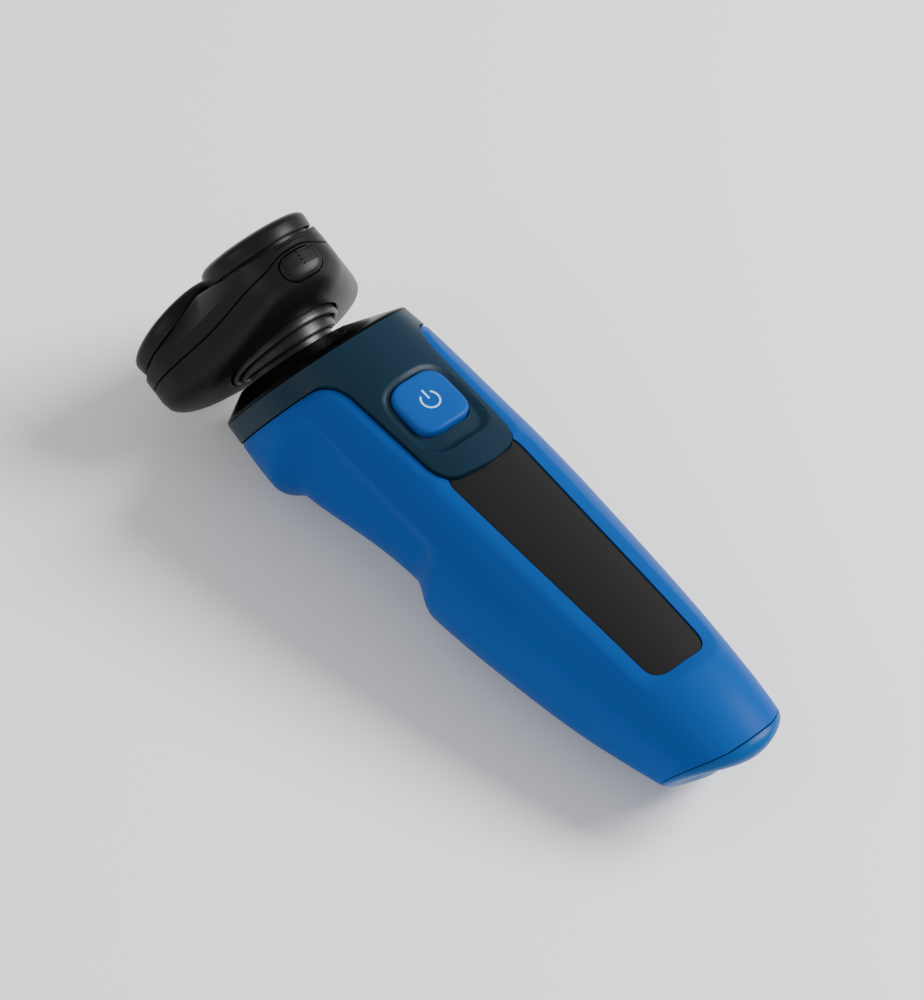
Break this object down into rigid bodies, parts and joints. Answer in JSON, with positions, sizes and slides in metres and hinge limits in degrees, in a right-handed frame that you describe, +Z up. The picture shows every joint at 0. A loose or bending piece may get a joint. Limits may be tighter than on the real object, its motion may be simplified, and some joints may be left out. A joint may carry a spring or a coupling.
{
  "type": "rotary electric shaver",
  "caption": "Cordless rotary shaver: tapered handle with a power button and display window, flexing ringed neck, and a flip-open head with round slotted shaving caps.",
  "frame": {"origin": "centre of the footprint, on the ground the shaver lies on", "axes": "+X from the shaving head towards the foot of the handle, +Y across the handle, +Z up, away from the surface the back rests on"},
  "size_m": [0.1676, 0.0524, 0.0569],
  "materials": {
    "blue_plastic": "satin",
    "navy_plastic": "gloss",
    "cyan_plastic": "gloss",
    "black_plastic": "satin",
    "display_lens": "gloss",
    "soft_rubber": "matte",
    "shaving_steel": "brushed",
    "plain_steel": "satin",
    "motor_steel": "satin",
    "battery_sleeve": "satin",
    "board_laminate": "satin",
    "white_nylon": "matte"
  },
  "bodies": {
    "handle": {"main_shell": "blue_plastic", "front_panel": "navy_plastic", "display_window": "display_lens", "shoulder_cap": "black_plastic", "neck_base_ring": "soft_rubber", "end_cap": "cyan_plastic", "charging_socket": "black_plastic", "socket_pin_1": "plain_steel", "socket_pin_2": "plain_steel", "button_seal": "soft_rubber", "tact_switch": "black_plastic", "circuit_board": "board_laminate", "light_guide": "white_nylon", "battery_cell": "battery_sleeve", "battery_tab_minus": "plain_steel", "battery_tab_plus": "plain_steel", "chassis": "black_plastic", "gearbox_plate": "black_plastic", "shaft_bush": "plain_steel", "motor": "motor_steel"},
    "power_button": {"power_button": "blue_plastic"},
    "drive": {"drive_gear": "white_nylon", "drive_shaft": "plain_steel"},
    "motor_rotor": {"motor_pinion": "plain_steel"},
    "neck_gimbal": {"neck_middle_ring": "soft_rubber"},
    "head": {"hair_chamber": "black_plastic", "neck_upper_ring": "soft_rubber", "hinge_pin": "plain_steel"},
    "release_button": {"release_button": "black_plastic"},
    "sun": {"sun_gear": "white_nylon"},
    "holder": {"head_holder": "black_plastic"},
    "spindle_1": {"cutter_spindle_1": "white_nylon"},
    "cap_1": {"cap_ring_1": "black_plastic", "shaving_cap_1": "shaving_steel"},
    "cutter_1": {"cutter_1": "shaving_steel"},
    "spindle_2": {"cutter_spindle_2": "white_nylon"},
    "cap_2": {"cap_ring_2": "black_plastic", "shaving_cap_2": "shaving_steel"},
    "cutter_2": {"cutter_2": "shaving_steel"},
    "spindle_3": {"cutter_spindle_3": "white_nylon"},
    "cap_3": {"cap_ring_3": "black_plastic", "shaving_cap_3": "shaving_steel"},
    "cutter_3": {"cutter_3": "shaving_steel"}
  },
  "joints": [
    {"name": "power_press", "type": "slide", "parent": "handle", "child": "power_button", "axis": [-0.1657, 0, -0.9862], "range_m": [0, 0.0008], "stiffness_N_per_m": 900},
    {"name": "drive_spin", "type": "hinge", "parent": "handle", "child": "drive", "pos_m": [-0.05216, 0, 0.02064], "axis": [-0.843, 0, 0.5379], "continuous": true},
    {"name": "motor_spin", "type": "hinge", "parent": "handle", "child": "motor_rotor", "pos_m": [-0.04355, 0, 0.03413], "axis": [-0.843, 0, 0.5379], "continuous": true},
    {"name": "neck_roll", "type": "hinge", "parent": "handle", "child": "neck_gimbal", "pos_m": [-0.05806, 0, 0.0244], "axis": [0.3833, 0, 0.9236], "range_deg": [-5, 5], "stiffness_Nm_per_rad": 0.3},
    {"name": "neck_pitch", "type": "hinge", "parent": "neck_gimbal", "child": "head", "pos_m": [-0.05806, 0, 0.0244], "axis": [0, 1, 0], "range_deg": [-3, 8], "stiffness_Nm_per_rad": 0.3},
    {"name": "head_release", "type": "slide", "parent": "head", "child": "release_button", "axis": [-0.3833, 0, -0.9236], "range_m": [0, 0.001], "stiffness_N_per_m": 600},
    {"name": "sun_spin", "type": "hinge", "parent": "head", "child": "sun", "pos_m": [-0.05806, 0, 0.0244], "axis": [-0.9236, 0, 0.3833], "continuous": true},
    {"name": "holder_flip", "type": "hinge", "parent": "head", "child": "holder", "pos_m": [-0.0763, 0, 0.00718], "axis": [0, -1, 0], "range_deg": [0, 65]},
    {"name": "spindle_1_spin", "type": "hinge", "parent": "head", "child": "spindle_1", "pos_m": [-0.05231, 0, 0.03826], "axis": [-0.9236, 0, 0.3833], "continuous": true},
    {"name": "cap_1_tilt", "type": "hinge", "parent": "holder", "child": "cap_1", "pos_m": [-0.06866, 0, 0.04504], "axis": [0, 1, 0], "range_deg": [-3, 3], "stiffness_Nm_per_rad": 0.05},
    {"name": "cutter_1_spin", "type": "hinge", "parent": "cap_1", "child": "cutter_1", "pos_m": [-0.06866, 0, 0.04504], "axis": [-0.843, 0, 0.5379], "continuous": true},
    {"name": "spindle_2_spin", "type": "hinge", "parent": "head", "child": "spindle_2", "pos_m": [-0.06094, 0.01299, 0.01748], "axis": [-0.9236, 0, 0.3833], "continuous": true},
    {"name": "cap_2_tilt", "type": "hinge", "parent": "holder", "child": "cap_2", "pos_m": [-0.07728, 0.01299, 0.02426], "axis": [-0.332, -0.5, -0.7999], "range_deg": [-3, 3], "stiffness_Nm_per_rad": 0.05},
    {"name": "cutter_2_spin", "type": "hinge", "parent": "cap_2", "child": "cutter_2", "pos_m": [-0.07728, 0.01299, 0.02426], "axis": [-0.9429, 0.1504, 0.2973], "continuous": true},
    {"name": "spindle_3_spin", "type": "hinge", "parent": "head", "child": "spindle_3", "pos_m": [-0.06094, -0.01299, 0.01748], "axis": [-0.9236, 0, 0.3833], "continuous": true},
    {"name": "cap_3_tilt", "type": "hinge", "parent": "holder", "child": "cap_3", "pos_m": [-0.07728, -0.01299, 0.02426], "axis": [0.332, -0.5, 0.7999], "range_deg": [-3, 3], "stiffness_Nm_per_rad": 0.05},
    {"name": "cutter_3_spin", "type": "hinge", "parent": "cap_3", "child": "cutter_3", "pos_m": [-0.07728, -0.01299, 0.02426], "axis": [-0.9429, -0.1504, 0.2973], "continuous": true}
  ],
  "couplings": [
    {"joint": "motor_spin", "follows": "drive_spin", "ratio": -1.8571},
    {"joint": "sun_spin", "follows": "drive_spin", "ratio": 1},
    {"joint": "spindle_1_spin", "follows": "drive_spin", "ratio": -1.1429},
    {"joint": "cutter_1_spin", "follows": "drive_spin", "ratio": -1.1429},
    {"joint": "spindle_2_spin", "follows": "drive_spin", "ratio": -1.1429},
    {"joint": "cutter_2_spin", "follows": "drive_spin", "ratio": -1.1429},
    {"joint": "spindle_3_spin", "follows": "drive_spin", "ratio": -1.1429},
    {"joint": "cutter_3_spin", "follows": "drive_spin", "ratio": -1.1429}
  ]
}
